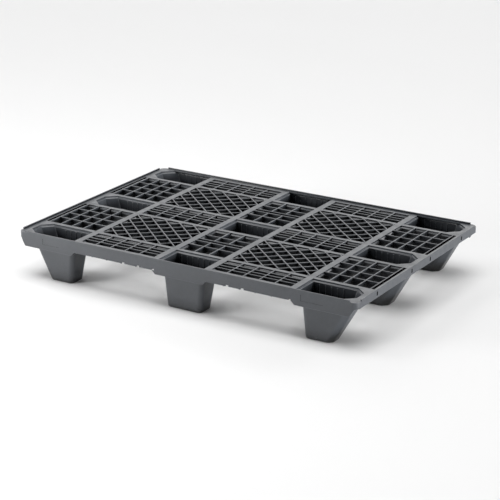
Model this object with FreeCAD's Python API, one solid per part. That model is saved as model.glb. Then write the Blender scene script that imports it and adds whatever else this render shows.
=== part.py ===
"""Nestable nine-foot plastic pallet, 1200 x 800 mm, with an open lattice deck.

Origin at the middle of the footprint on the floor. +X runs along the long side, +Y towards the
rear long side and +Z up. The real pallet is one injection moulding; each named region of that
moulding is written as its own solid, and neighbouring regions meet face to face.
"""
import FreeCAD
import Part
import math
import os

V = FreeCAD.Vector

# Overall size
LENGTH = 1200.0
WIDTH = 800.0
DECK_TOP = 151.0
RIM_TOP = 156.0
CORNER_RADIUS = 20.0

# Wall thicknesses
WALL = 3.5
PLATE = 4.0
RIB = 3.6
GUSSET = 3.2

# Heights of the lower edges
BEAM_BOTTOM = 117.5
SKIRT_BOTTOM = 117.5
FOOT_SKIRT_BOTTOM = 106.0
SIDE_SKIRT_BOTTOM = 131.0
RIB_BOTTOM = 127.0
GUSSET_BOTTOM = 114.5

# Beams that divide the deck into bays
CROSS_BEAM_X = (91.6, 382.8)
CROSS_BEAM_WIDTH = 21.0
LONG_BEAM_Y = (61.0, 280.0)
LONG_BEAM_WIDTH = 14.0
BEAM_WEB_PITCH = 54.0

# The wall round each panel and cup starts below the deck and has a sloped top edge
FRAME = 4.0
FRAME_TOP = DECK_TOP - 4.2
FRAME_LAND = 0.4

# Edges of the deck
RIM_WIDTH = 4.0
RIM_GAP = 25.0
EDGE_STRIP = 12.0
PANEL_EDGE_Y = 375.5
SIDE_STRIP_X = 586.0
OUTER_RIB_X = 574.0
CORNER_PLATE_X = 544.0
CORNER_PLATE_Y = 358.0
SKIRT_STEP = 12.0
SKIRT_DEEP_MIDDLE_X = 84.1
SKIRT_DEEP_OUTER_X = 397.0
CORNER_CLIMB = 0.6
RIM_EDGE_RADIUS = 1.0
BEAM_SLOT_WIDTH = 8.0
BEAM_SLOT_Z = (136.5, 149.5)
SKIRT_NOTCH_WIDTH = 9.0
SKIRT_NOTCH_HEIGHT = 4.5
SKIRT_NOTCH_X = (-200.0, -146.0, -92.0, 170.0, 222.0, 380.0)
MARK_PANEL_X = ((-505.0, -443.0), (417.0, 489.0))
MARK_PANEL_Z = (123.0, 142.0)
MARK_PANEL_DEPTH = 0.8

# Feet of the outer columns, along X: the slanted end wall at the deck and at the shoulder,
# the cup's inner wall under the shoulder, and the sole
CUP_END_TOP = 576.6
CUP_END_SHOULDER = 564.0
OUTER_CUP_X = 405.0
OUTER_SOLE_X = (416.0, 505.0)

# Feet of the middle column, along X: half the cup under the shoulder and half the sole
MIDDLE_CUP_X = 72.0
MIDDLE_SOLE_X = 61.0

# Feet along Y: the cup under the shoulder, the sole, and the flat span of the outer end wall.
# sole_cut is how far that span stays inside the sole's two corners.
FRONT_CUP_Y = (-377.0, -294.0)
FRONT_SOLE_Y = (-375.0, -313.0)
FRONT_END_Y = (-358.0, -317.0)
FRONT_SOLE_CUT = (13.6, 16.5)
CENTRE_CUP_Y = (-45.5, 45.5)
CENTRE_SOLE_Y = (-36.5, 36.5)
CENTRE_END_Y = (-24.0, 24.0)
CENTRE_SOLE_CUT = (16.5, 16.5)
CUT_SLOPE = 1.1

FOOT_EDGE_RADIUS = 15.0
FOOT_SOLE_RADIUS = 6.0
CAVITY_EDGE_RADIUS = 11.5
CAVITY_SOLE_RADIUS = 3.0
DRAIN_RADIUS = 7.0
CUP_RIB_WIDTH = 2.2
CUP_RIB_PROUD = 1.8
CUP_RIB_PITCH = 20.0
CUP_RIB_DROP = 8.0

# Lattice panels
ROW_PANEL_PITCH = 20.0
PANEL_PITCH_Y = 48.0
OUTER_PANEL_PITCH = 44.0
MIDDLE_PANEL_RIB_X = 26.5
MIDDLE_PANEL_SLOT = 19.0
DIAGONAL_COLUMNS = 5
DIAGONAL_ROWS = 4
GATE_RADIUS = 7.0
GATE_TOP = 140.0

TOUCH = 0.01

HALF_X = LENGTH / 2
HALF_Y = WIDTH / 2
PLATE_BOTTOM = DECK_TOP - PLATE
SHOULDER_TOP = FOOT_SKIRT_BOTTOM + WALL
MIDDLE_BAY_X = CROSS_BEAM_X[0] - CROSS_BEAM_WIDTH / 2
INNER_BAY_X = (CROSS_BEAM_X[0] + CROSS_BEAM_WIDTH / 2, CROSS_BEAM_X[1] - CROSS_BEAM_WIDTH / 2)
OUTER_BAY_X = CROSS_BEAM_X[1] + CROSS_BEAM_WIDTH / 2
MIDDLE_ROW_Y = LONG_BEAM_Y[0] - LONG_BEAM_WIDTH / 2
PANEL_BAY_Y = (LONG_BEAM_Y[0] + LONG_BEAM_WIDTH / 2, LONG_BEAM_Y[1] - LONG_BEAM_WIDTH / 2)
EDGE_ROW_Y = LONG_BEAM_Y[1] + LONG_BEAM_WIDTH / 2


def box(x0, x1, y0, y1, z0, z1):
    return Part.makeBox(x1 - x0, y1 - y0, z1 - z0, V(x0, y0, z0))


def flat_face(points):
    return Part.Face(Part.makePolygon(points + points[:1]))


def prism(outline, z0, z1):
    return flat_face([V(x, y, z0) for x, y in outline]).extrude(V(0, 0, z1 - z0))


def frustum(low, z0, high, z1):
    """Solid between two outlines whose matching edges are parallel, so that each side is flat."""
    lower = [V(x, y, z0) for x, y in low]
    upper = [V(x, y, z1) for x, y in high]
    count = len(low)
    faces = [flat_face(lower[::-1]), flat_face(upper)]
    for i in range(count):
        j = (i + 1) % count
        faces.append(flat_face([lower[i], lower[j], upper[j], upper[i]]))
    shell = Part.makeCompound(faces)
    shell.sewShape()
    return Part.makeSolid(shell.Shells[0])


def inset(outline, distance):
    """A counter-clockwise convex outline with every side moved inwards by the same distance."""
    lines = []
    for (ax, ay), (bx, by) in zip(outline, outline[1:] + outline[:1]):
        span = math.hypot(bx - ax, by - ay)
        nx, ny = (ay - by) / span, (bx - ax) / span
        lines.append((nx, ny, nx * ax + ny * ay + distance))
    corners = []
    for (a, b, c), (d, e, f) in zip(lines[-1:] + lines[:-1], lines):
        scale = a * e - d * b
        corners.append(((c * e - f * b) / scale, (a * f - d * c) / scale))
    return corners


def between(low, high, share):
    """The outline part of the way from one outline to another with the same corners."""
    return [(ax + (bx - ax) * share, ay + (by - ay) * share) for (ax, ay), (bx, by) in zip(low, high)]


def rectangle(x0, x1, y0, y1):
    return [(x0, y0), (x1, y0), (x1, y1), (x0, y1)]


def cut_rectangle(x0, x1, y0, y1, face):
    """A rectangle whose two corners on the x1 side are cut back to the given span of that side."""
    return [
        (x0, y0),
        (x1 - (face[0] - y0) * CUT_SLOPE, y0),
        (x1, face[0]),
        (x1, face[1]),
        (x1 - (y1 - face[1]) * CUT_SLOPE, y1),
        (x0, y1),
    ]


def mirror_x(shape):
    return shape.mirror(V(0, 0, 0), V(1, 0, 0))


def mirror_y(shape):
    return shape.mirror(V(0, 0, 0), V(0, 1, 0))


def turned(shape):
    """The same shape turned half a turn about the vertical axis."""
    copy = shape.copy()
    copy.rotate(V(0, 0, 0), V(0, 0, 1), 180)
    return copy


def rounded(solid, radius, sole_radius, sole_z):
    """A frustum with its upright edges and the edges of its lower face rounded."""
    upright = [edge for edge in solid.Edges if abs(edge.Vertexes[0].Z - edge.Vertexes[1].Z) > TOUCH]
    solid = solid.makeFillet(radius, upright)
    sole = [edge for edge in solid.Edges if all(abs(v.Z - sole_z) < TOUCH for v in edge.Vertexes)]
    return solid.makeFillet(sole_radius, sole)


def frame_cavity(low, high, z0):
    """Space inside a panel's or cup's wall, flared where the wall's top edge is sloped."""
    slope_bottom = FRAME_TOP - FRAME + FRAME_LAND
    share = (slope_bottom - z0) / (FRAME_TOP - z0)
    knee = inset(between(low, high, share), FRAME)
    straight = frustum(inset(low, FRAME), z0, knee, slope_bottom)
    return straight.fuse(frustum(knee, slope_bottom, inset(high, FRAME_LAND), FRAME_TOP))


def make_foot(collar_low, collar_high, top, sole):
    """A hollow foot: a collar between the beams, a shoulder, and a tapered cup down to the floor.

    collar_low and top lie at the shoulder's underside, collar_high at the top edge.
    """
    cup = rounded(frustum(sole, 0, top, FOOT_SKIRT_BOTTOM),
                  FOOT_EDGE_RADIUS, FOOT_SOLE_RADIUS, 0)
    body = cup.fuse(frustum(collar_low, FOOT_SKIRT_BOTTOM, collar_high, FRAME_TOP))

    share = WALL / FOOT_SKIRT_BOTTOM
    cavity_low = inset(between(sole, top, share), WALL)
    cavity_high = inset(between(sole, top, 1 + share), WALL)
    cavity = rounded(frustum(cavity_low, WALL, cavity_high, SHOULDER_TOP),
                     CAVITY_EDGE_RADIUS, CAVITY_SOLE_RADIUS, WALL)

    share = (SHOULDER_TOP - FOOT_SKIRT_BOTTOM) / (FRAME_TOP - FOOT_SKIRT_BOTTOM)
    body = body.cut(cavity)
    body = body.cut(frame_cavity(between(collar_low, collar_high, share), collar_high, SHOULDER_TOP))

    middle_x = (min(x for x, y in sole) + max(x for x, y in sole)) / 2
    middle_y = (min(y for x, y in sole) + max(y for x, y in sole)) / 2
    drain = Part.makeCylinder(DRAIN_RADIUS, 2 * WALL, V(middle_x, middle_y, -WALL / 2))
    return body.cut(drain).fuse(cup_ribs(collar_low))


def cup_ribs(collar):
    """Thin upright ribs on the two long walls of a cup's collar."""
    half = CUP_RIB_WIDTH / 2
    top = FRAME_TOP - CUP_RIB_DROP
    left = min(x for x, y in collar)
    right = max(x for x, y in collar if y == collar[0][1])
    low = collar[0][1] + FRAME
    high = collar[-1][1] - FRAME
    count = int((right - left - CUP_RIB_PITCH) / CUP_RIB_PITCH)
    start = (left + right - (count - 1) * CUP_RIB_PITCH) / 2
    ribs = []
    for i in range(count):
        x = start + i * CUP_RIB_PITCH
        for wall in (low, high):
            y0, y1 = wall - CUP_RIB_PROUD, wall + CUP_RIB_PROUD
            ribs.append(box(x - half, x + half, y0, y1, FOOT_SKIRT_BOTTOM + WALL / 2, top))
    return ribs


def outer_foot(collar_y, cup_y, sole_y, end_y, sole_cut):
    """A foot of the outer columns, whose end wall slants from the deck to the floor."""
    sole_end_y = (sole_y[0] + sole_cut[0], sole_y[1] - sole_cut[1])
    return make_foot(
        cut_rectangle(OUTER_BAY_X, CUP_END_SHOULDER, *collar_y, end_y),
        cut_rectangle(OUTER_BAY_X, CUP_END_TOP, *collar_y, end_y),
        cut_rectangle(OUTER_CUP_X, CUP_END_SHOULDER, *cup_y, end_y),
        cut_rectangle(*OUTER_SOLE_X, *sole_y, sole_end_y),
    )


def middle_foot(collar_y, cup_y, sole_y):
    """A foot of the middle column, tapered alike to both sides."""
    collar = rectangle(-MIDDLE_BAY_X, MIDDLE_BAY_X, *collar_y)
    cup = rectangle(-MIDDLE_CUP_X, MIDDLE_CUP_X, *cup_y)
    sole = rectangle(-MIDDLE_SOLE_X, MIDDLE_SOLE_X, *sole_y)
    return make_foot(collar, collar, cup, sole)


def panel_frame(x0, x1, y0, y1):
    outline = rectangle(x0, x1, y0, y1)
    return prism(outline, RIB_BOTTOM, FRAME_TOP).cut(frame_cavity(outline, outline, RIB_BOTTOM))


def rib_along_y(x, y0, y1, z0=RIB_BOTTOM, width=RIB):
    return box(x - width / 2, x + width / 2, y0, y1, z0, DECK_TOP)


def rib_along_x(y, x0, x1, z0=RIB_BOTTOM, width=RIB):
    return box(x0, x1, y - width / 2, y + width / 2, z0, DECK_TOP)


def fused(shapes):
    return shapes[0].multiFuse(shapes[1:]).removeSplitter()


def inner_rib_x():
    """Ribs that divide an inner bay into equal columns."""
    pitch = (INNER_BAY_X[1] - INNER_BAY_X[0]) / DIAGONAL_COLUMNS
    return [INNER_BAY_X[0] + pitch * i for i in range(1, DIAGONAL_COLUMNS)]


def row_panel(y0, y1):
    """Rectangular lattice between two feet of one row."""
    x0, x1 = INNER_BAY_X
    middle = (y0 + y1) / 2
    shapes = [panel_frame(x0, x1, y0, y1)]
    shapes += [rib_along_y(x, y0, y1) for x in inner_rib_x()]
    shapes += [rib_along_x(middle + i * ROW_PANEL_PITCH, x0, x1) for i in (-1, 0, 1)]
    return shapes


def front_row_panel():
    """Row panel at the front edge, with a deck strip and gussets that carry the skirt."""
    x0, x1 = INNER_BAY_X
    strip_y = -HALF_Y + EDGE_STRIP
    shapes = row_panel(-PANEL_EDGE_Y, -EDGE_ROW_Y)
    shapes.append(box(x0, x1, strip_y, -PANEL_EDGE_Y, PLATE_BOTTOM, DECK_TOP))
    for x in inner_rib_x():
        side = [V(x, -HALF_Y + WALL, PLATE_BOTTOM), V(x, -HALF_Y + WALL, GUSSET_BOTTOM),
                V(x, -PANEL_EDGE_Y, RIB_BOTTOM), V(x, -PANEL_EDGE_Y, PLATE_BOTTOM)]
        gusset = flat_face(side).extrude(V(GUSSET, 0, 0))
        shapes.append(gusset.translated(V(-GUSSET / 2, 0, 0)))
    return fused(shapes)


def diagonal_panel():
    """Diamond lattice of the large inner bays, with a low round boss where the mould was fed."""
    x0, x1 = INNER_BAY_X
    y0, y1 = -PANEL_BAY_Y[1], -PANEL_BAY_Y[0]
    pitch_x = (x1 - x0) / DIAGONAL_COLUMNS
    middle_x, middle_y = (x0 + x1) / 2, (y0 + y1) / 2
    angle = math.degrees(math.atan2(PANEL_PITCH_Y, pitch_x))
    reach = math.hypot(x1 - x0, y1 - y0)
    ribs = []
    for sign in (1, -1):
        for i in range(-DIAGONAL_COLUMNS, DIAGONAL_COLUMNS):
            rib = box(-reach, reach, -RIB / 2, RIB / 2, RIB_BOTTOM, DECK_TOP)
            rib.rotate(V(0, 0, 0), V(0, 0, 1), sign * angle)
            rib.translate(V(middle_x + (i + 0.5) * pitch_x, middle_y, 0))
            ribs.append(rib)
    lattice = ribs[0].multiFuse(ribs[1:]).common(box(x0, x1, y0, y1, RIB_BOTTOM, DECK_TOP))
    gate_at = V(middle_x + pitch_x / 2, middle_y, RIB_BOTTOM)
    gate = Part.makeCylinder(GATE_RADIUS, GATE_TOP - RIB_BOTTOM, gate_at)
    return fused([panel_frame(x0, x1, y0, y1), lattice, gate])


def outer_panel():
    """Square lattice at the short side, with a narrow slot between its last rib and the edge rail."""
    y0, y1 = -PANEL_BAY_Y[1], -PANEL_BAY_Y[0]
    middle_y = (y0 + y1) / 2
    shapes = [panel_frame(OUTER_BAY_X, SIDE_STRIP_X, y0, y1)]
    shapes += [rib_along_y(OUTER_RIB_X - i * OUTER_PANEL_PITCH, y0, y1) for i in range(4)]
    shapes += [rib_along_x(middle_y + i * PANEL_PITCH_Y, OUTER_BAY_X, OUTER_RIB_X) for i in (-1, 0, 1)]
    return fused(shapes)


def middle_panel():
    """Lattice of the middle column, parted by an open slot across its middle."""
    y0, y1 = -PANEL_BAY_Y[1], -PANEL_BAY_Y[0]
    middle_y = (y0 + y1) / 2
    half_slot = MIDDLE_PANEL_SLOT / 2
    shapes = [panel_frame(-MIDDLE_BAY_X, MIDDLE_BAY_X, y0, y1)]
    for x in (-MIDDLE_PANEL_RIB_X, MIDDLE_PANEL_RIB_X):
        shapes.append(rib_along_y(x, y0, middle_y - half_slot))
        shapes.append(rib_along_y(x, middle_y + half_slot, y1))
    for offset in (-PANEL_PITCH_Y, -half_slot, half_slot, PANEL_PITCH_Y):
        shapes.append(rib_along_x(middle_y + offset, -MIDDLE_BAY_X, MIDDLE_BAY_X))
    return fused(shapes)


def edge_strips():
    """The deck-level strips of the four edges, cut away from the beams that end under them."""
    front = box(-HALF_X, HALF_X, -HALF_Y, -HALF_Y + EDGE_STRIP, PLATE_BOTTOM, DECK_TOP)
    side = box(SIDE_STRIP_X, HALF_X, -HALF_Y, HALF_Y, PLATE_BOTTOM, DECK_TOP)
    return front.multiFuse([mirror_y(front), side, mirror_x(side)])


def cross_beam(x):
    """Beam from the front skirt to the rear one: a channel open below, with webs across it."""
    half = CROSS_BEAM_WIDTH / 2
    end = HALF_Y - WALL
    beam = box(x - half, x + half, -end, end, BEAM_BOTTOM, DECK_TOP)
    beam = beam.cut(box(x - half + WALL, x + half - WALL, -end, end, BEAM_BOTTOM, DECK_TOP - WALL))
    count = int(end / BEAM_WEB_PITCH)
    webs = [box(x - half, x + half, i * BEAM_WEB_PITCH - GUSSET / 2, i * BEAM_WEB_PITCH + GUSSET / 2,
                RIB_BOTTOM, DECK_TOP) for i in range(-count, count + 1)]
    return beam.multiFuse(webs).removeSplitter().cut(edge_strips())


def long_beam(y):
    """Beam along the pallet in five spans that end at the cross beams and at the edge rails."""
    half = LONG_BEAM_WIDTH / 2
    end = HALF_X - WALL
    rise = SIDE_SKIRT_BOTTOM - BEAM_BOTTOM
    spans = [(-MIDDLE_BAY_X, MIDDLE_BAY_X), INNER_BAY_X, (-INNER_BAY_X[1], -INNER_BAY_X[0]),
             (OUTER_BAY_X, end), (-end, -OUTER_BAY_X)]
    solids = []
    for x0, x1 in spans:
        span = box(x0, x1, y - half, y + half, BEAM_BOTTOM, DECK_TOP)
        span = span.cut(box(x0, x1, y - half + WALL, y + half - WALL, BEAM_BOTTOM, DECK_TOP - WALL))
        solids.append(span)
    for side in (1, -1):
        ramp = flat_face([V(side * (end - 2 * rise), y - half, BEAM_BOTTOM),
                          V(side * end, y - half, BEAM_BOTTOM),
                          V(side * end, y - half, SIDE_SKIRT_BOTTOM)]).extrude(V(0, LONG_BEAM_WIDTH, 0))
        solids = [span.cut(ramp) for span in solids]
    return Part.makeCompound([span.cut(edge_strips()) for span in solids])


def cup_opening():
    """The cup mouths of the right-hand column, cut through the deck-level plates around them."""
    front = cut_rectangle(OUTER_BAY_X, CUP_END_TOP, -HALF_Y + EDGE_STRIP, -EDGE_ROW_Y, FRONT_END_Y)
    middle = cut_rectangle(OUTER_BAY_X, CUP_END_TOP, -MIDDLE_ROW_Y, MIDDLE_ROW_Y, CENTRE_END_Y)
    front = prism(front, PLATE_BOTTOM, DECK_TOP)
    return front.multiFuse([mirror_y(front), prism(middle, PLATE_BOTTOM, DECK_TOP)])


def side_rail():
    """Right-hand edge: a short skirt under a deck strip that widens beside each cup."""
    limit = CORNER_PLATE_Y
    wall = box(HALF_X - WALL, HALF_X, -limit, limit, SIDE_SKIRT_BOTTOM, DECK_TOP)
    plates = [box(SIDE_STRIP_X, HALF_X, -limit, limit, PLATE_BOTTOM, DECK_TOP)]
    for y0, y1 in ((-limit, -EDGE_ROW_Y), (-MIDDLE_ROW_Y, MIDDLE_ROW_Y), (EDGE_ROW_Y, limit)):
        plates.append(box(CORNER_PLATE_X, SIDE_STRIP_X, y0, y1, PLATE_BOTTOM, DECK_TOP))
    rail = wall.multiFuse(plates).cut(cup_opening())
    half = BEAM_SLOT_WIDTH / 2
    for beam_y in LONG_BEAM_Y:
        for y in (beam_y, -beam_y):
            rail = rail.cut(box(HALF_X - WALL, HALF_X, y - half, y + half, *BEAM_SLOT_Z))
    return rail.removeSplitter()


def front_skirt():
    """Front edge between the corners: a skirt, deeper at the three feet, under a deck strip.

    It has notches in its lower edge and two shallow recessed panels for an owner's mark.
    """
    limit = CORNER_PLATE_X
    middle, outer = SKIRT_DEEP_MIDDLE_X, SKIRT_DEEP_OUTER_X
    low, high = FOOT_SKIRT_BOTTOM, SKIRT_BOTTOM
    half_edge = [(middle, low), (middle + SKIRT_STEP, high), (outer - SKIRT_STEP, high), (outer, low),
                 (limit, low), (limit, DECK_TOP)]
    edge = half_edge + [(-x, z) for x, z in half_edge[::-1]]
    skirt = flat_face([V(x, -HALF_Y, z) for x, z in edge]).extrude(V(0, WALL, 0))
    skirt = skirt.fuse(box(-limit, limit, -HALF_Y, -HALF_Y + EDGE_STRIP, PLATE_BOTTOM, DECK_TOP))
    half = SKIRT_NOTCH_WIDTH / 2
    notch_top = high + SKIRT_NOTCH_HEIGHT
    for x in SKIRT_NOTCH_X:
        skirt = skirt.cut(box(x - half, x + half, -HALF_Y, -HALF_Y + WALL, high, notch_top))
    for x0, x1 in MARK_PANEL_X:
        skirt = skirt.cut(box(x0, x1, -HALF_Y, -HALF_Y + MARK_PANEL_DEPTH, *MARK_PANEL_Z))
    return skirt.removeSplitter()


def corner_rounded(block, x, y, radius):
    """A block with its upright edge at the given place rounded."""
    upright = [edge for edge in block.Edges
               if edge.BoundBox.XMin > x - TOUCH and edge.BoundBox.YMax < y + TOUCH]
    return block.makeFillet(radius, upright)


def corner():
    """Front right corner: rounded skirt that rises from the deep front edge to the side edge."""
    outer = box(CORNER_PLATE_X, HALF_X, -HALF_Y, -CORNER_PLATE_Y, FOOT_SKIRT_BOTTOM, DECK_TOP)
    outer = corner_rounded(outer, HALF_X, -HALF_Y, CORNER_RADIUS)
    inner = box(CORNER_PLATE_X, HALF_X - WALL, -HALF_Y + WALL, -CORNER_PLATE_Y,
                FOOT_SKIRT_BOTTOM, PLATE_BOTTOM)
    inner = corner_rounded(inner, HALF_X - WALL, -HALF_Y + WALL, CORNER_RADIUS - WALL)
    piece = outer.cut(inner).cut(cup_opening())

    # The lower edge climbs round the corner, and stays level along the side.
    start_x = HALF_X - RIM_GAP
    rise = SIDE_SKIRT_BOTTOM - FOOT_SKIRT_BOTTOM
    top_x = start_x + rise * CORNER_CLIMB
    side = [V(start_x, -HALF_Y, FOOT_SKIRT_BOTTOM), V(HALF_X, -HALF_Y, FOOT_SKIRT_BOTTOM),
            V(HALF_X, -HALF_Y, SIDE_SKIRT_BOTTOM), V(top_x, -HALF_Y, SIDE_SKIRT_BOTTOM)]
    ramp = flat_face(side).extrude(V(0, HALF_Y, 0))
    return piece.cut(ramp).removeSplitter()


def front_rim():
    """Raised lip that keeps the load on the deck, along the front edge."""
    end = HALF_X - RIM_GAP
    lip = box(-end, end, -HALF_Y, -HALF_Y + RIM_WIDTH, DECK_TOP, RIM_TOP)
    return eased(lip)


def side_rim():
    """The same lip along the right-hand edge."""
    end = HALF_Y - RIM_GAP
    lip = box(HALF_X - RIM_WIDTH, HALF_X, -end, end, DECK_TOP, RIM_TOP)
    return eased(lip)


def eased(lip):
    """A lip with its top edges rounded over."""
    top = [edge for edge in lip.Edges if edge.BoundBox.ZMin > RIM_TOP - TOUCH]
    return lip.makeFillet(RIM_EDGE_RADIUS, top)


def write(name, shape):
    for solid in shape.Solids:
        if not solid.isValid() or solid.Volume <= 0:
            raise ValueError(name + " is not a sound solid")
    shape.exportStep("parts/" + name + ".step")
    print("%-28s %2d solid(s) %10.0f mm3" % (name, len(shape.Solids), shape.Volume))


def write_mirrored(pattern, right_front):
    """Write a front right shape and its three mirror images."""
    right_rear = mirror_y(right_front)
    write(pattern % ("front", "right"), right_front)
    write(pattern % ("front", "left"), mirror_x(right_front))
    write(pattern % ("rear", "right"), right_rear)
    write(pattern % ("rear", "left"), mirror_x(right_rear))


os.makedirs("parts", exist_ok=True)

front_row = ((-HALF_Y + WALL, -EDGE_ROW_Y), FRONT_CUP_Y, FRONT_SOLE_Y)
centre_row = ((-MIDDLE_ROW_Y, MIDDLE_ROW_Y), CENTRE_CUP_Y, CENTRE_SOLE_Y)
write_mirrored("foot_%s_%s", outer_foot(*front_row, FRONT_END_Y, FRONT_SOLE_CUT))
side_foot = outer_foot(*centre_row, CENTRE_END_Y, CENTRE_SOLE_CUT)
write("foot_middle_right", side_foot)
write("foot_middle_left", mirror_x(side_foot))
end_foot = middle_foot(*front_row)
write("foot_front_middle", end_foot)
write("foot_rear_middle", mirror_y(end_foot))
write("foot_centre", middle_foot(*centre_row))

write("cross_beam_inner_left", cross_beam(-CROSS_BEAM_X[0]))
write("cross_beam_inner_right", cross_beam(CROSS_BEAM_X[0]))
write("cross_beam_outer_left", cross_beam(-CROSS_BEAM_X[1]))
write("cross_beam_outer_right", cross_beam(CROSS_BEAM_X[1]))
write("long_beam_inner_front", long_beam(-LONG_BEAM_Y[0]))
write("long_beam_inner_rear", long_beam(LONG_BEAM_Y[0]))
write("long_beam_outer_front", long_beam(-LONG_BEAM_Y[1]))
write("long_beam_outer_rear", long_beam(LONG_BEAM_Y[1]))

write_mirrored("row_lattice_%s_%s", front_row_panel())
middle_row_panel = fused(row_panel(-MIDDLE_ROW_Y, MIDDLE_ROW_Y))
write("row_lattice_middle_right", middle_row_panel)
write("row_lattice_middle_left", mirror_x(middle_row_panel))
write_mirrored("diagonal_lattice_%s_%s", diagonal_panel())
write_mirrored("side_lattice_%s_%s", outer_panel())
column_panel = middle_panel()
write("centre_lattice_front", column_panel)
write("centre_lattice_rear", mirror_y(column_panel))

skirt = front_skirt()
write("skirt_front", skirt)
write("skirt_rear", turned(skirt))
rail = side_rail()
write("edge_rail_right", rail)
write("edge_rail_left", mirror_x(rail))
write_mirrored("corner_%s_%s", corner())
rim = front_rim()
write("rim_front", rim)
write("rim_rear", mirror_y(rim))
rim = side_rim()
write("rim_right", rim)
write("rim_left", mirror_x(rim))
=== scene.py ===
import math

import bmesh
import bpy
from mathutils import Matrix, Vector
from mathutils.bvhtree import BVHTree
from mathutils.kdtree import KDTree


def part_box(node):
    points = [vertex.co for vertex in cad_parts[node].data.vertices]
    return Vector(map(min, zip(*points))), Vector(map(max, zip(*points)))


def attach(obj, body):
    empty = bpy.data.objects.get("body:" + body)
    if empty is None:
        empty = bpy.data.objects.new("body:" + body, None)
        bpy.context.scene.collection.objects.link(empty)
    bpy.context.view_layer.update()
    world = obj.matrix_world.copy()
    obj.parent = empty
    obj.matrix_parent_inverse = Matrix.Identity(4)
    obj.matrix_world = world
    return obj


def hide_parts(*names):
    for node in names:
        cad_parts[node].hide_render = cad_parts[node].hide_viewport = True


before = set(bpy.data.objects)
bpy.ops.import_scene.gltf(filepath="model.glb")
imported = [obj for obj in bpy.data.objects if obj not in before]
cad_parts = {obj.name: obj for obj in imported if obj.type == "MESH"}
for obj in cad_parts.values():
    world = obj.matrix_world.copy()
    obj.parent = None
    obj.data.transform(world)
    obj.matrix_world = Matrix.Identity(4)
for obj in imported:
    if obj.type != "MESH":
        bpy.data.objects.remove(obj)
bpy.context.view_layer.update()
scene = bpy.context.scene

# Camera: degrees, metres, and millimetres for the lens and sensor
CAMERA_AZIMUTH = 31.62
CAMERA_ELEVATION = 19.55
CAMERA_DISTANCE = 5.428
CAMERA_LENS = 124.27
CAMERA_SENSOR = 36.0
CAMERA_CLIP_END = 100
CAMERA_TARGET = Vector((0.0054, -0.0037, 0.080))

# Far lights: azimuth, elevation and spread in degrees, strength
FAR_LIGHTS = (
    (0, 88, 50, 1.95),
    (225, 15, 50, 0.95),
    (180, 15, 50, 0.6),
    (135, 15, 50, 0.15),
    (157, 29, 10, 0.3),
    (92, 5, 14, 5.2),
    (90, 68, 50, 0.1),
    (270, 68, 50, 0.2),
)
# Near lights: azimuth, elevation and spread in degrees, distance in metres, strength
NEAR_LIGHTS = (
    (315, 8, 24, 3.6, 2.5),
    (304, 53, 20, 2.2, 0.6),
)
WORLD_COLOR = (1, 1, 1, 1)
WORLD_STRENGTH = 0.02
FLOOR_COLOR = (0.8, 0.8, 0.8, 1)
FLOOR_REACH = 40

# Radius of the rounded edges in metres, by the first word of the node's name
EDGE_RADIUS = {
    "foot": 0.0009,
    "cross": 0.0009,
    "long": 0.0008,
    "skirt": 0.0009,
    "edge": 0.0009,
    "corner": 0.0009,
    "rim": 0.0006,
}
RIB_EDGE_RADIUS = 0.0006
ROUND_SEGMENTS = 2
EDGE_SLOT = 1

# Edges that count as sharp, faces that count as flat, vertices that count as one
SHARP = math.radians(40)
FLAT = math.radians(0.3)
WELD = 0.00002

# Contact between regions: probes beside an edge, and how close and how opposed the other face is
TOUCH_SHARES = (0.15, 0.5, 0.85)
TOUCH_GAP = 0.00005
TOUCH_REACH = 0.0003
TOUCH_LIMIT = 0.00008
TOUCH_OPPOSED = -0.9
TOUCH_HITS = 2

# Folds: distance off the surface, rounds of repair, edges cleared around a fold in radii
STRAY = 0.0004
ROUNDS = 6
FOLD_REACH = 3.0
SMALLEST_AREA = 2e-8

# Shading: largest angle smoothed over, between plain faces and beside a rounded edge
SMOOTH = math.radians(24)
SMOOTH_ROUNDED = math.radians(50)
NORMAL_WEIGHT = 80

# Anthracite plastic with a faint blue cast, and a lighter copy of it on the rounded edges: partly
# rubbed wear, partly a painted highlight along the edges
PLASTIC = (0.037, 0.0415, 0.049)
PLASTIC_WEAR = 0.45
# Colour of the rounded edges: rubbed wear plus a painted highlight that makes the edges look lit
EDGE_WEAR_AND_HIGHLIGHT = (0.105, 0.112, 0.124)
RUBBED_WEAR = 0.6
SPECULAR_LEVEL = 0.7

# Noises: scale, detail, roughness. Ranges: the part of a noise that is used, and what it becomes
MIDDLE = (0.3, 0.7)
MOTTLE = (11.0, 5.0, 0.55)
MOTTLE_TONE = (0.93, 1.07)
CLOUD = (85.0, 3.0)
CLOUD_TONE = (0.95, 1.05)
FLECK = (900.0, 1.0)
FLECK_RANGE = (0.66, 0.74)
FLECK_TONE = (1.0, 1.22)

# Scuffs on faces that look up: long strokes along X and along Y, in patches
UPWARD = (0.8, 0.97)
STROKE = (1.0, 4.0, 0.7)
STROKE_ALONG_X = (14.0, 260.0, 40.0)
STROKE_ALONG_Y = (310.0, 16.0, 40.0)
STROKE_RANGE_X = (0.6, 0.72)
STROKE_RANGE_Y = (0.62, 0.74)
PATCH = (6.0, 3.0)
PATCH_RANGE = (0.42, 0.62)

# Soles rubbed on the ground, from this height down to this height in metres
SOLE_HEIGHT = (0.016, 0.001)
SOLE_WEAR = 0.12

# Cavities get painted shade and are smoother: reach in metres, share of open air, tone of the
# painted shade and roughness inside
CAVITY_REACH = 0.09
CAVITY_SAMPLES = 8
CAVITY_AIR = (0.25, 0.85)
CAVITY_RANGE = (0.3, 0.8)
# Painted shade: deep in cavities the colour is scaled down to this share
CAVITY_PAINTED_SHADE = 0.03
CAVITY_ROUGHNESS = 0.6

# Gloss and relief
GLOSS = (40.0, 4.0)
ROUGHNESS = (0.34, 0.44)
WORN_ROUGHNESS = 0.25
GRAIN = (1500.0, 2.0, 0.6)
GRAIN_DEPTH = 0.00012
GRAIN_STRENGTH = 0.25
SINK = (26.0, 2.0)
SINK_DEPTH = 0.0006
SINK_STRENGTH = 0.35


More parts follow.
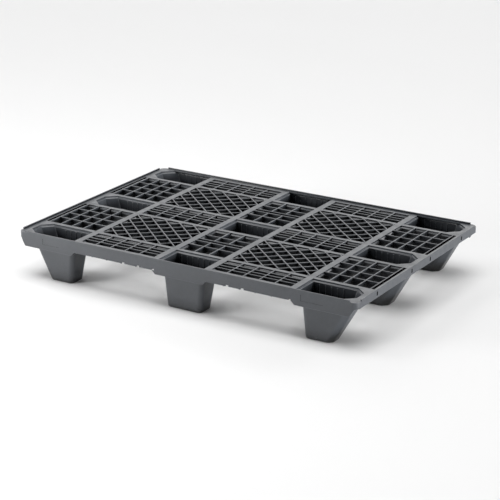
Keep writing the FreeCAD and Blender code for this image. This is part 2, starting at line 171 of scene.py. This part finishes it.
def direction(azimuth, elevation):
    """Unit vector away from the object. Azimuth 0 is the front, 90 the right-hand side."""
    a, e = math.radians(azimuth), math.radians(elevation)
    return Vector((math.sin(a) * math.cos(e), -math.cos(a) * math.cos(e), math.sin(e)))


class Graph:
    """A short way to write a material's node tree."""

    def __init__(self, tree):
        self.tree = tree

    def node(self, kind, settings=None, **inputs):
        made = self.tree.nodes.new("ShaderNode" + kind)
        for key, value in (settings or {}).items():
            setattr(made, key, value)
        for key, value in inputs.items():
            self.put(made.inputs[key.replace("_", " ")], value)
        return made

    def put(self, socket, value):
        if isinstance(value, bpy.types.NodeSocket):
            self.tree.links.new(value, socket)
        else:
            socket.default_value = value

    def math(self, operation, a, b):
        made = self.node("Math", {"operation": operation})
        self.put(made.inputs[0], a)
        self.put(made.inputs[1], b)
        return made.outputs[0]

    def noise(self, place, scale, detail=2.0, roughness=0.5):
        made = self.node("TexNoise", Vector=place, Scale=scale, Detail=detail, Roughness=roughness)
        return made.outputs["Fac"]

    def spread(self, value, low, high, to_low=0.0, to_high=1.0):
        """Maps low..high to to_low..to_high, with soft ends."""
        made = self.node("MapRange", {"interpolation_type": "SMOOTHSTEP"})
        for index, number in enumerate((value, low, high, to_low, to_high)):
            self.put(made.inputs[index], number)
        return made.outputs[0]

    def scaled(self, place, factors):
        made = self.node("Mapping", Vector=place)
        made.inputs["Scale"].default_value = factors
        return made.outputs[0]


def plastic(name, color, wear):
    """Moulded recycled plastic: fine grain, mottling, pale flecks, scuffs on upward faces, and
    painted shade in cavities.
    """
    made = bpy.data.materials.new(name)
    made.use_nodes = True
    graph = Graph(made.node_tree)
    shader = made.node_tree.nodes["Principled BSDF"]
    shader.inputs["Specular IOR Level"].default_value = SPECULAR_LEVEL

    place = graph.node("TexCoord").outputs["Object"]
    shape = graph.node("NewGeometry")
    facing = graph.node("SeparateXYZ", Vector=shape.outputs["Normal"])
    height = graph.node("SeparateXYZ", Vector=shape.outputs["Position"])

    mottle = graph.spread(graph.noise(place, *MOTTLE), *MIDDLE, *MOTTLE_TONE)
    cloud = graph.spread(graph.noise(place, *CLOUD), *MIDDLE, *CLOUD_TONE)
    fleck = graph.spread(graph.noise(place, *FLECK), *FLECK_RANGE, *FLECK_TONE)

    upward = graph.spread(facing.outputs["Z"], *UPWARD)
    strokes = graph.noise(graph.scaled(place, STROKE_ALONG_X), *STROKE)
    crossing = graph.noise(graph.scaled(place, STROKE_ALONG_Y), *STROKE)
    strokes = graph.spread(strokes, *STROKE_RANGE_X)
    crossing = graph.spread(crossing, *STROKE_RANGE_Y)
    scratch = graph.math("MAXIMUM", strokes, crossing)
    patch = graph.spread(graph.noise(place, *PATCH), *PATCH_RANGE)
    scuff = graph.math("MULTIPLY", graph.math("MULTIPLY", scratch, patch), upward)
    scuff = graph.math("MULTIPLY", scuff, wear)
    sole = graph.math("MULTIPLY", graph.spread(height.outputs["Z"], *SOLE_HEIGHT), SOLE_WEAR)
    worn = graph.math("ADD", scuff, sole)

    cavity = graph.node("AmbientOcclusion", {"samples": CAVITY_SAMPLES}, Distance=CAVITY_REACH)
    open_air = graph.spread(cavity.outputs["AO"], *CAVITY_AIR)
    tone = graph.math("MULTIPLY", graph.math("MULTIPLY", mottle, cloud), fleck)
    tone = graph.math("MULTIPLY", tone, graph.math("ADD", 1.0, worn))
    # Painted shade: the colour darkens where ambient occlusion finds little open air
    painted_cavity_shade = graph.spread(open_air, *CAVITY_RANGE, CAVITY_PAINTED_SHADE, 1.0)
    tone = graph.math("MULTIPLY", tone, painted_cavity_shade)
    tinted = graph.node("VectorMath", {"operation": "SCALE"})
    tinted.inputs[0].default_value = color
    graph.put(tinted.inputs["Scale"], tone)
    graph.put(shader.inputs["Base Color"], tinted.outputs[0])

    rough = graph.spread(graph.noise(place, *GLOSS), *MIDDLE, *ROUGHNESS)
    rough = graph.math("ADD", rough, graph.math("MULTIPLY", worn, WORN_ROUGHNESS))
    cavity_rough = graph.spread(open_air, *CAVITY_RANGE, CAVITY_ROUGHNESS, 1.0)
    graph.put(shader.inputs["Roughness"], graph.math("MULTIPLY", rough, cavity_rough))

    grain = graph.noise(place, *GRAIN)
    sink = graph.noise(place, *SINK)
    relief = graph.node("Bump", Height=sink, Strength=SINK_STRENGTH, Distance=SINK_DEPTH)
    fine = graph.node("Bump", Height=grain, Strength=GRAIN_STRENGTH, Distance=GRAIN_DEPTH,
                      Normal=relief.outputs[0])
    graph.put(shader.inputs["Normal"], fine.outputs[0])
    return made


def everything():
    """One search tree over every CAD node's faces."""
    points, faces = [], []
    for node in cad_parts.values():
        first = len(points)
        points += [vertex.co.copy() for vertex in node.data.vertices]
        faces += [[first + corner for corner in face.vertices] for face in node.data.polygons]
    return BVHTree.FromPolygons(points, faces)


def touches(edge, neighbours):
    """True if a face beside this edge lies against another region of the same moulding.

    It counts when at least two of the three probes along the edge find the other region.
    """
    start, end = edge.verts[0].co, edge.verts[1].co
    along = (end - start).normalized()
    hits = 0
    for share in TOUCH_SHARES:
        spot = start.lerp(end, share)
        for face in edge.link_faces:
            inward = face.normal.cross(along)
            if inward.dot(face.calc_center_median() - spot) < 0:
                inward = -inward
            probe = spot + inward * TOUCH_REACH + face.normal * TOUCH_GAP
            near = neighbours.find_nearest_range(probe, TOUCH_LIMIT)
            if any(normal.dot(face.normal) < TOUCH_OPPOSED for _, normal, _, _ in near):
                hits += 1
                break
    return hits >= TOUCH_HITS


def folded(work, own):
    """Points where a rounding has gone wrong: off the region's surface, or turned over."""
    spots = []
    for loops in work.calc_loop_triangles():
        first, second, third = (loop.vert.co for loop in loops)
        facing = (second - first).cross(third - first)
        if facing.length < SMALLEST_AREA:
            continue
        centre = (first + second + third) / 3
        _, normal, _, distance = own.find_nearest(centre)
        if distance > STRAY or (distance < TOUCH_GAP and facing.normalized().dot(normal) < 0):
            spots += [first.copy(), second.copy(), third.copy()]
    return spots


def free_edges(plain, radius, neighbours):
    """Indices of the edges to round: sharp, long enough and not against another region."""
    free = set()
    for edge in plain.edges:
        if len(edge.link_faces) != 2 or edge.calc_length() <= radius:
            continue
        if edge.calc_face_angle(0.0) > SHARP and not touches(edge, neighbours):
            free.add(edge.index)
    return free


def rounded(plain, free, radius, own):
    """A copy of the mesh with its free edges rounded.

    Where an edge is too short for its rounding the bevel folds over. The edges near a fold are
    then left sharp and the rounding is made again. If folds remain, no edge is rounded.
    """
    for attempt in range(ROUNDS):
        work = plain.copy()
        work.edges.ensure_lookup_table()
        bmesh.ops.bevel(work, geom=[work.edges[index] for index in free], offset=radius,
                        offset_type="OFFSET", segments=ROUND_SEGMENTS, profile=0.5,
                        affect="EDGES", clamp_overlap=False, material=EDGE_SLOT)
        bmesh.ops.triangulate(work, faces=work.faces[:])
        spots = folded(work, own)
        if not spots:
            return work
        work.free()
        near = KDTree(len(spots))
        for index, spot in enumerate(spots):
            near.insert(spot, index)
        near.balance()
        reach = FOLD_REACH * radius * (1 + attempt)
        bad = set()
        for index in free:
            if any(near.find(vertex.co)[2] < reach for vertex in plain.edges[index].verts):
                bad.add(index)
        if not bad:
            break
        free -= bad
    return plain.copy()


def moulded(name, radius, neighbours):
    """A region's piece: free edges rounded, and joints with other regions left closed."""
    plain = bmesh.new()
    plain.from_mesh(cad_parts[name].data)
    bmesh.ops.remove_doubles(plain, verts=plain.verts, dist=WELD)
    own = BVHTree.FromBMesh(plain)
    bmesh.ops.dissolve_limit(plain, angle_limit=FLAT, verts=plain.verts, edges=plain.edges)
    plain.normal_update()
    plain.edges.ensure_lookup_table()
    plain.edges.index_update()
    work = rounded(plain, free_edges(plain, radius, neighbours), radius, own)
    plain.free()

    low, high = (Vector(corner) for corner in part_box(name))
    for vertex in work.verts:
        limits = zip(vertex.co, low, high)
        vertex.co = [min(max(value, least), most) for value, least, most in limits]
    for edge in work.edges:
        beside_round = any(face.material_index == EDGE_SLOT for face in edge.link_faces)
        limit = SMOOTH_ROUNDED if beside_round else SMOOTH
        edge.smooth = edge.calc_face_angle(math.pi) < limit
    mesh = bpy.data.meshes.new("moulded_" + name)
    work.to_mesh(mesh)
    work.free()
    for face in mesh.polygons:
        face.use_smooth = True
    made = bpy.data.objects.new("moulded_" + name, mesh)
    scene.collection.objects.link(made)
    normals = made.modifiers.new("normals", "WEIGHTED_NORMAL")
    normals.keep_sharp = True
    normals.weight = NORMAL_WEIGHT
    return made


def far_light(azimuth, elevation, spread, strength):
    """A soft light so far away that it is as strong at every part of the pallet."""
    data = bpy.data.lights.new("far_light", "SUN")
    data.angle = math.radians(spread)
    data.energy = strength
    made = bpy.data.objects.new("far_light", data)
    scene.collection.objects.link(made)
    made.rotation_mode = "QUATERNION"
    made.rotation_quaternion = direction(azimuth, elevation).to_track_quat("Z", "Y")


def near_light(azimuth, elevation, spread, distance, strength):
    """A round softbox. Its strength is the light that it brings to the middle of the deck."""
    data = bpy.data.lights.new("softbox", "AREA")
    data.shape = "DISK"
    data.size = 2 * distance * math.tan(math.radians(spread) / 2)
    data.energy = strength * math.pi * distance ** 2
    made = bpy.data.objects.new("softbox", data)
    scene.collection.objects.link(made)
    away = direction(azimuth, elevation)
    made.location = CAMERA_TARGET + away * distance
    made.rotation_mode = "QUATERNION"
    made.rotation_quaternion = away.to_track_quat("Z", "Y")


def camera():
    """The camera, level and aimed at the middle of the pallet."""
    data = bpy.data.cameras.new("camera")
    data.lens = CAMERA_LENS
    data.sensor_width = CAMERA_SENSOR
    data.clip_end = CAMERA_CLIP_END
    made = bpy.data.objects.new("camera", data)
    scene.collection.objects.link(made)
    back = direction(CAMERA_AZIMUTH, CAMERA_ELEVATION)
    made.location = CAMERA_TARGET + back * CAMERA_DISTANCE
    made.rotation_mode = "QUATERNION"
    made.rotation_quaternion = (-back).to_track_quat("-Z", "Y")
    scene.camera = made


body = plastic("plastic", PLASTIC, PLASTIC_WEAR)
# The rounded edges get the lighter copy: rubbed wear and a painted highlight
edges = plastic("plastic_edge_wear_and_painted_highlight", EDGE_WEAR_AND_HIGHLIGHT, RUBBED_WEAR)
neighbours = everything()
for name in sorted(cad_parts):
    radius = EDGE_RADIUS.get(name.split("_")[0], RIB_EDGE_RADIUS)
    piece = moulded(name, radius, neighbours)
    piece.data.materials.append(body)
    # Second slot holds the rounded edges, with rubbed wear and a painted highlight
    piece.data.materials.append(edges)
    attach(piece, "root")
    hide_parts(name)

mesh = bpy.data.meshes.new("floor")
corners = [(x * FLOOR_REACH, y * FLOOR_REACH, 0) for x, y in ((-1, -1), (1, -1), (1, 1), (-1, 1))]
mesh.from_pydata(corners, [], [(0, 1, 2, 3)])
floor = bpy.data.objects.new("floor", mesh)
scene.collection.objects.link(floor)
matt = bpy.data.materials.new("floor")
matt.use_nodes = True
ground = matt.node_tree.nodes["Principled BSDF"]
ground.inputs["Base Color"].default_value = FLOOR_COLOR
ground.inputs["Roughness"].default_value = 1.0
ground.inputs["Specular IOR Level"].default_value = 0.0
mesh.materials.append(matt)

for settings in FAR_LIGHTS:
    far_light(*settings)
for settings in NEAR_LIGHTS:
    near_light(*settings)

world = bpy.data.worlds.new("studio")
scene.world = world
world.use_nodes = True
sky = world.node_tree.nodes["Background"]
sky.inputs["Color"].default_value = WORLD_COLOR
sky.inputs["Strength"].default_value = WORLD_STRENGTH
scene.view_settings.view_transform = "Standard"

camera()
